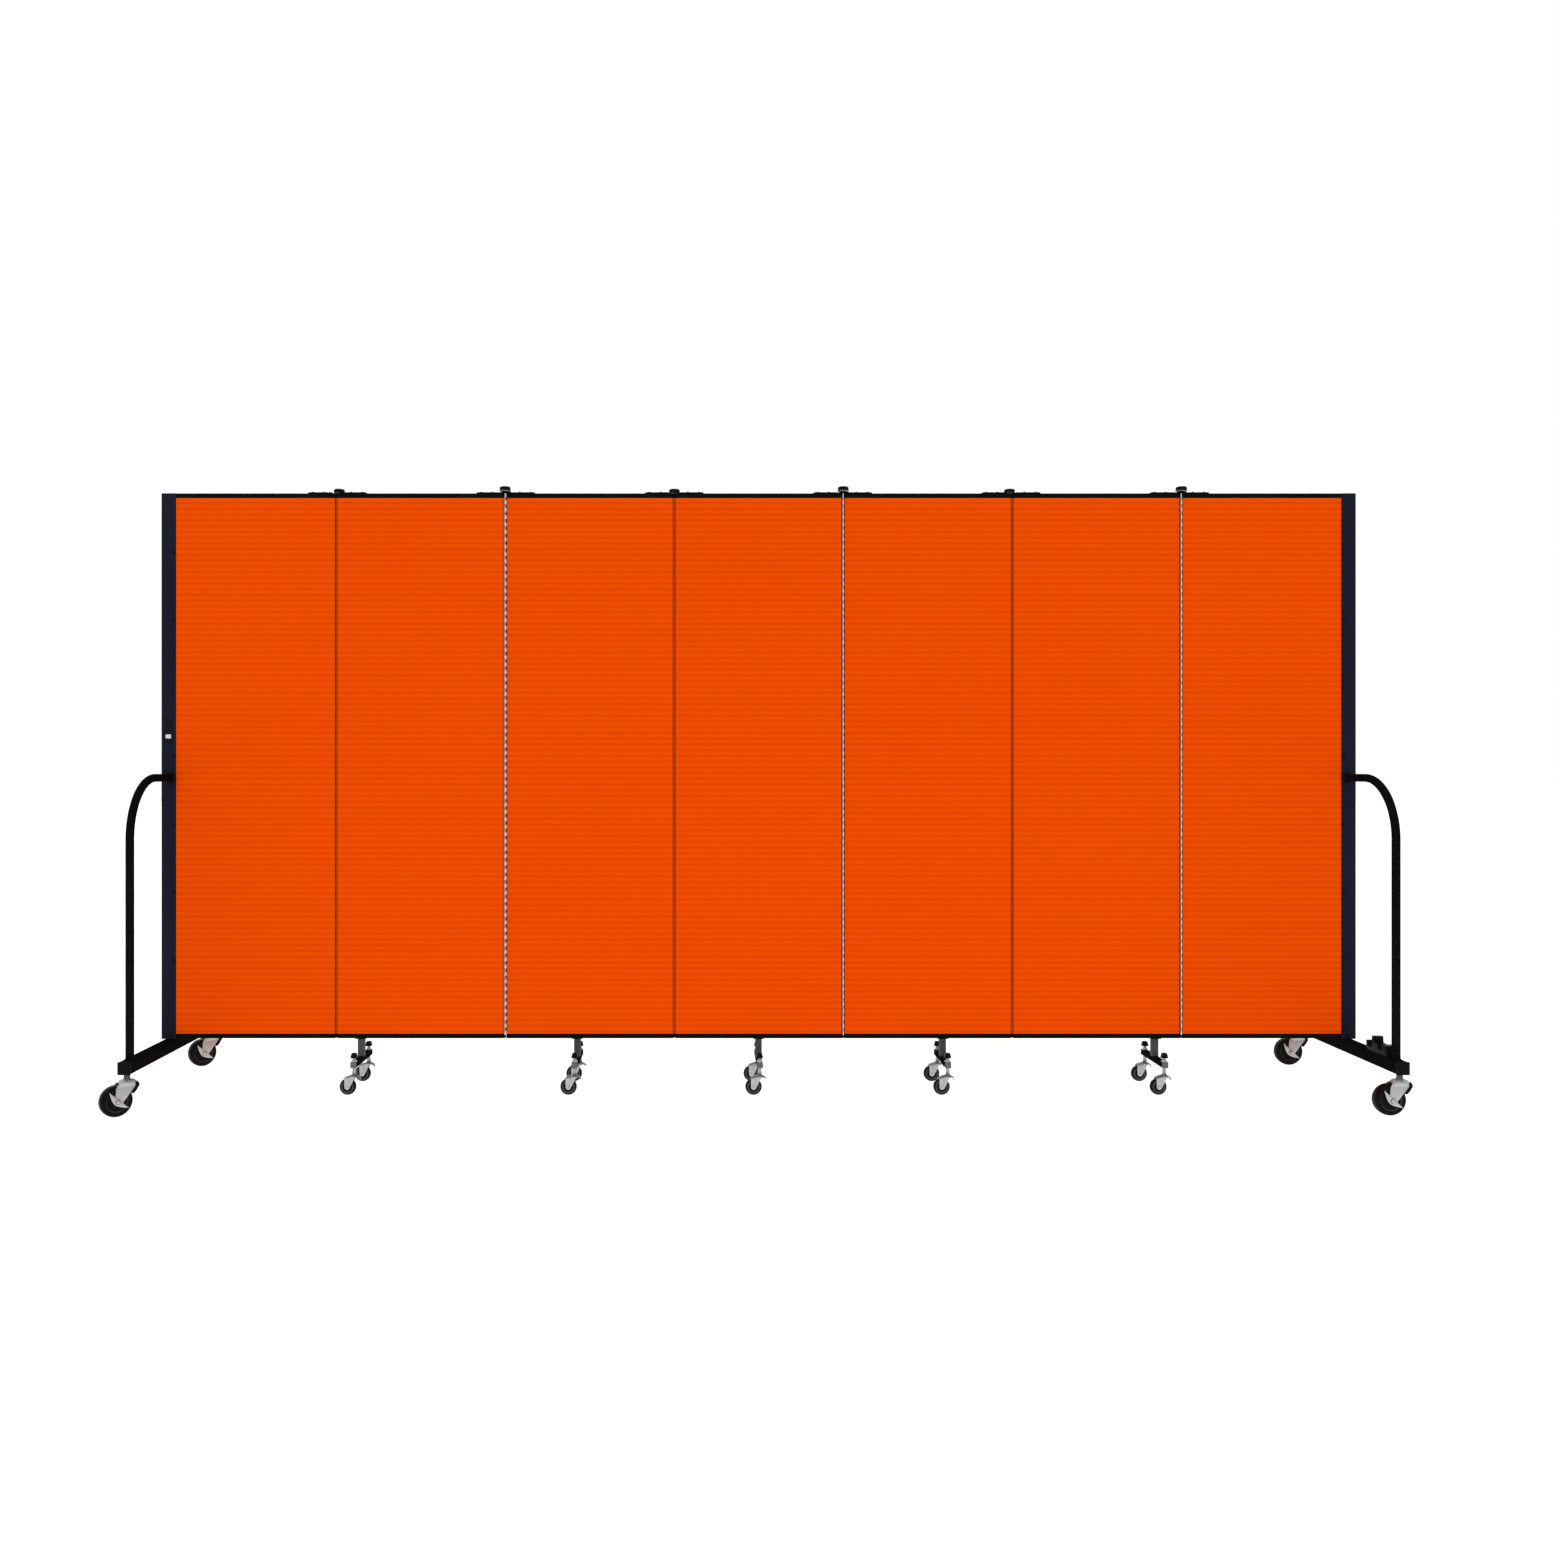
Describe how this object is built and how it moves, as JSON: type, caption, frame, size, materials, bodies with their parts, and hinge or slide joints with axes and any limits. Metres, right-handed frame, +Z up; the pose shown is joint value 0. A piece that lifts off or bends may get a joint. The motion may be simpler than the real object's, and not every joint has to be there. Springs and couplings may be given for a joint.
{
  "type": "folding welding screen",
  "caption": "Free-standing folding screen of hinged rectangular panels with ribbed orange faces, on swivel casters, with a braced stand at each end.",
  "frame": {"origin": "on the floor, below the centre of the middle panel", "axes": "+X along the row of panels to the right seen from the front, +Y to the rear, +Z up; the front faces -Y"},
  "size_m": [3.991, 0.7902, 1.9957],
  "materials": {
    "orange_cover": "bright orange, finely ribbed across, satin",
    "panel_frame": "black satin paint",
    "end_frame": "black satin paint",
    "hinge_cap": "black, satin",
    "caster_fork": "bright zinc plate",
    "brake_lever": "bright zinc plate",
    "caster_wheel": "black, satin",
    "storage_clip": "black moulded",
    "label": "blank white film"
  },
  "bodies": {
    "panel_1": {"panel_1_frame": "panel_frame", "panel_1_board": "orange_cover", "hinge_1_pin": "hinge_cap", "end_post_left": "end_frame", "foot_bar_left": "end_frame", "brace_tube_left": "end_frame", "blank_label": "label"},
    "panel_2": {"panel_2_frame": "panel_frame", "panel_2_board": "orange_cover", "hinge_2_pin": "hinge_cap"},
    "panel_3": {"panel_3_frame": "panel_frame", "panel_3_board": "orange_cover", "hinge_3_pin": "hinge_cap"},
    "panel_4": {"panel_4_frame": "panel_frame", "panel_4_board": "orange_cover", "hinge_4_pin": "hinge_cap"},
    "panel_5": {"panel_5_frame": "panel_frame", "panel_5_board": "orange_cover", "hinge_5_pin": "hinge_cap"},
    "panel_6": {"panel_6_frame": "panel_frame", "panel_6_board": "orange_cover", "hinge_6_pin": "hinge_cap"},
    "panel_7": {"panel_7_frame": "panel_frame", "panel_7_board": "orange_cover", "end_post_right": "end_frame", "foot_bar_right": "end_frame", "brace_tube_right": "end_frame", "storage_clip": "storage_clip"},
    "end_left_front_swivel": {"end_left_front_fork": "caster_fork"},
    "end_left_front_wheel": {"end_left_front_wheel": "caster_wheel"},
    "end_left_front_brake": {"end_left_front_brake": "brake_lever"},
    "end_left_rear_swivel": {"end_left_rear_fork": "caster_fork"},
    "end_left_rear_wheel": {"end_left_rear_wheel": "caster_wheel"},
    "end_left_rear_brake": {"end_left_rear_brake": "brake_lever"},
    "end_right_front_swivel": {"end_right_front_fork": "caster_fork"},
    "end_right_front_wheel": {"end_right_front_wheel": "caster_wheel"},
    "end_right_front_brake": {"end_right_front_brake": "brake_lever"},
    "end_right_rear_swivel": {"end_right_rear_fork": "caster_fork"},
    "end_right_rear_wheel": {"end_right_rear_wheel": "caster_wheel"},
    "end_right_rear_brake": {"end_right_rear_brake": "brake_lever"},
    "foot_2_front_swivel": {"foot_2_front_fork": "caster_fork"},
    "foot_2_front_wheel": {"foot_2_front_wheel": "caster_wheel"},
    "foot_2_rear_swivel": {"foot_2_rear_fork": "caster_fork"},
    "foot_2_rear_wheel": {"foot_2_rear_wheel": "caster_wheel"},
    "foot_3_front_swivel": {"foot_3_front_fork": "caster_fork"},
    "foot_3_front_wheel": {"foot_3_front_wheel": "caster_wheel"},
    "foot_3_rear_swivel": {"foot_3_rear_fork": "caster_fork"},
    "foot_3_rear_wheel": {"foot_3_rear_wheel": "caster_wheel"},
    "foot_4_front_swivel": {"foot_4_front_fork": "caster_fork"},
    "foot_4_front_wheel": {"foot_4_front_wheel": "caster_wheel"},
    "foot_4_rear_swivel": {"foot_4_rear_fork": "caster_fork"},
    "foot_4_rear_wheel": {"foot_4_rear_wheel": "caster_wheel"},
    "foot_5_front_swivel": {"foot_5_front_fork": "caster_fork"},
    "foot_5_front_wheel": {"foot_5_front_wheel": "caster_wheel"},
    "foot_5_rear_swivel": {"foot_5_rear_fork": "caster_fork"},
    "foot_5_rear_wheel": {"foot_5_rear_wheel": "caster_wheel"},
    "foot_6_front_swivel": {"foot_6_front_fork": "caster_fork"},
    "foot_6_front_wheel": {"foot_6_front_wheel": "caster_wheel"},
    "foot_6_rear_swivel": {"foot_6_rear_fork": "caster_fork"},
    "foot_6_rear_wheel": {"foot_6_rear_wheel": "caster_wheel"}
  },
  "joints": [
    {"name": "hinge_1_fold", "type": "hinge", "parent": "panel_2", "child": "panel_1", "pos_m": [-1.397, 0.02, 1], "axis": [0, 0, -1], "range_deg": [0, 180]},
    {"name": "hinge_2_fold", "type": "hinge", "parent": "panel_3", "child": "panel_2", "pos_m": [-0.8382, -0.02, 1], "axis": [0, 0, 1], "range_deg": [0, 150]},
    {"name": "hinge_3_fold", "type": "hinge", "parent": "panel_4", "child": "panel_3", "pos_m": [-0.2794, 0.02, 1], "axis": [0, 0, -1], "range_deg": [0, 140]},
    {"name": "hinge_4_fold", "type": "hinge", "parent": "panel_4", "child": "panel_5", "pos_m": [0.2794, -0.02, 1], "axis": [0, 0, -1], "range_deg": [0, 140]},
    {"name": "hinge_5_fold", "type": "hinge", "parent": "panel_5", "child": "panel_6", "pos_m": [0.8382, 0.02, 1], "axis": [0, 0, 1], "range_deg": [0, 165]},
    {"name": "hinge_6_fold", "type": "hinge", "parent": "panel_6", "child": "panel_7", "pos_m": [1.397, -0.02, 1], "axis": [0, 0, -1], "range_deg": [0, 140]},
    {"name": "end_left_front_brake_rock", "type": "hinge", "parent": "end_left_front_swivel", "child": "end_left_front_brake", "pos_m": [-1.97088, -0.37121, 0.048], "axis": [0.6428, -0.766, 0], "range_deg": [0, 25]},
    {"name": "end_left_rear_brake_rock", "type": "hinge", "parent": "end_left_rear_swivel", "child": "end_left_rear_brake", "pos_m": [-1.97088, 0.32879, 0.048], "axis": [0.6428, -0.766, 0], "range_deg": [0, 25]},
    {"name": "end_right_front_brake_rock", "type": "hinge", "parent": "end_right_front_swivel", "child": "end_right_front_brake", "pos_m": [1.9126, -0.35, 0.048], "axis": [0, -1, 0], "range_deg": [0, 25]},
    {"name": "end_right_rear_brake_rock", "type": "hinge", "parent": "end_right_rear_swivel", "child": "end_right_rear_brake", "pos_m": [1.9126, 0.35, 0.048], "axis": [0, -1, 0], "range_deg": [0, 25]},
    {"name": "end_left_front_swivel", "type": "hinge", "parent": "panel_1", "child": "end_left_front_swivel", "pos_m": [-1.9456, -0.35, 0.106], "axis": [0, 0, 1], "continuous": true},
    {"name": "end_left_rear_swivel", "type": "hinge", "parent": "panel_1", "child": "end_left_rear_swivel", "pos_m": [-1.9456, 0.35, 0.106], "axis": [0, 0, 1], "continuous": true},
    {"name": "end_right_front_swivel", "type": "hinge", "parent": "panel_7", "child": "end_right_front_swivel", "pos_m": [1.9456, -0.35, 0.106], "axis": [0, 0, 1], "continuous": true},
    {"name": "end_right_rear_swivel", "type": "hinge", "parent": "panel_7", "child": "end_right_rear_swivel", "pos_m": [1.9456, 0.35, 0.106], "axis": [0, 0, 1], "continuous": true},
    {"name": "foot_2_front_swivel", "type": "hinge", "parent": "panel_2", "child": "foot_2_front_swivel", "pos_m": [-1.3176, -0.095, 0.065], "axis": [0, 0, 1], "continuous": true},
    {"name": "foot_2_rear_swivel", "type": "hinge", "parent": "panel_2", "child": "foot_2_rear_swivel", "pos_m": [-1.3176, 0.095, 0.065], "axis": [0, 0, 1], "continuous": true},
    {"name": "foot_3_front_swivel", "type": "hinge", "parent": "panel_3", "child": "foot_3_front_swivel", "pos_m": [-0.6008, -0.095, 0.065], "axis": [0, 0, 1], "continuous": true},
    {"name": "foot_3_rear_swivel", "type": "hinge", "parent": "panel_3", "child": "foot_3_rear_swivel", "pos_m": [-0.6008, 0.095, 0.065], "axis": [0, 0, 1], "continuous": true},
    {"name": "foot_4_front_swivel", "type": "hinge", "parent": "panel_4", "child": "foot_4_front_swivel", "pos_m": [0, -0.095, 0.065], "axis": [0, 0, 1], "continuous": true},
    {"name": "foot_4_rear_swivel", "type": "hinge", "parent": "panel_4", "child": "foot_4_rear_swivel", "pos_m": [0, 0.095, 0.065], "axis": [0, 0, 1], "continuous": true},
    {"name": "foot_5_front_swivel", "type": "hinge", "parent": "panel_5", "child": "foot_5_front_swivel", "pos_m": [0.6108, -0.095, 0.065], "axis": [0, 0, 1], "continuous": true},
    {"name": "foot_5_rear_swivel", "type": "hinge", "parent": "panel_5", "child": "foot_5_rear_swivel", "pos_m": [0.6108, 0.095, 0.065], "axis": [0, 0, 1], "continuous": true},
    {"name": "foot_6_front_swivel", "type": "hinge", "parent": "panel_6", "child": "foot_6_front_swivel", "pos_m": [1.3146, -0.095, 0.065], "axis": [0, 0, 1], "continuous": true},
    {"name": "foot_6_rear_swivel", "type": "hinge", "parent": "panel_6", "child": "foot_6_rear_swivel", "pos_m": [1.3146, 0.095, 0.065], "axis": [0, 0, 1], "continuous": true},
    {"name": "end_left_front_roll", "type": "hinge", "parent": "end_left_front_swivel", "child": "end_left_front_wheel", "pos_m": [-1.97088, -0.37121, 0.048], "axis": [-0.6428, 0.766, 0], "continuous": true},
    {"name": "end_left_rear_roll", "type": "hinge", "parent": "end_left_rear_swivel", "child": "end_left_rear_wheel", "pos_m": [-1.97088, 0.32879, 0.048], "axis": [-0.6428, 0.766, 0], "continuous": true},
    {"name": "end_right_front_roll", "type": "hinge", "parent": "end_right_front_swivel", "child": "end_right_front_wheel", "pos_m": [1.9126, -0.35, 0.048], "axis": [0, 1, 0], "continuous": true},
    {"name": "end_right_rear_roll", "type": "hinge", "parent": "end_right_rear_swivel", "child": "end_right_rear_wheel", "pos_m": [1.9126, 0.35, 0.048], "axis": [0, 1, 0], "continuous": true},
    {"name": "foot_2_front_roll", "type": "hinge", "parent": "foot_2_front_swivel", "child": "foot_2_front_wheel", "pos_m": [-1.3376, -0.095, 0.0268], "axis": [0, 1, 0], "continuous": true},
    {"name": "foot_2_rear_roll", "type": "hinge", "parent": "foot_2_rear_swivel", "child": "foot_2_rear_wheel", "pos_m": [-1.3376, 0.095, 0.0268], "axis": [0, 1, 0], "continuous": true},
    {"name": "foot_3_front_roll", "type": "hinge", "parent": "foot_3_front_swivel", "child": "foot_3_front_wheel", "pos_m": [-0.6208, -0.095, 0.0268], "axis": [0, 1, 0], "continuous": true},
    {"name": "foot_3_rear_roll", "type": "hinge", "parent": "foot_3_rear_swivel", "child": "foot_3_rear_wheel", "pos_m": [-0.6208, 0.095, 0.0268], "axis": [0, 1, 0], "continuous": true},
    {"name": "foot_4_front_roll", "type": "hinge", "parent": "foot_4_front_swivel", "child": "foot_4_front_wheel", "pos_m": [-0.02, -0.095, 0.0268], "axis": [0, 1, 0], "continuous": true},
    {"name": "foot_4_rear_roll", "type": "hinge", "parent": "foot_4_rear_swivel", "child": "foot_4_rear_wheel", "pos_m": [-0.02, 0.095, 0.0268], "axis": [0, 1, 0], "continuous": true},
    {"name": "foot_5_front_roll", "type": "hinge", "parent": "foot_5_front_swivel", "child": "foot_5_front_wheel", "pos_m": [0.5908, -0.095, 0.0268], "axis": [0, 1, 0], "continuous": true},
    {"name": "foot_5_rear_roll", "type": "hinge", "parent": "foot_5_rear_swivel", "child": "foot_5_rear_wheel", "pos_m": [0.5908, 0.095, 0.0268], "axis": [0, 1, 0], "continuous": true},
    {"name": "foot_6_front_roll", "type": "hinge", "parent": "foot_6_front_swivel", "child": "foot_6_front_wheel", "pos_m": [1.2946, -0.095, 0.0268], "axis": [0, 1, 0], "continuous": true},
    {"name": "foot_6_rear_roll", "type": "hinge", "parent": "foot_6_rear_swivel", "child": "foot_6_rear_wheel", "pos_m": [1.2946, 0.095, 0.0268], "axis": [0, 1, 0], "continuous": true}
  ]
}
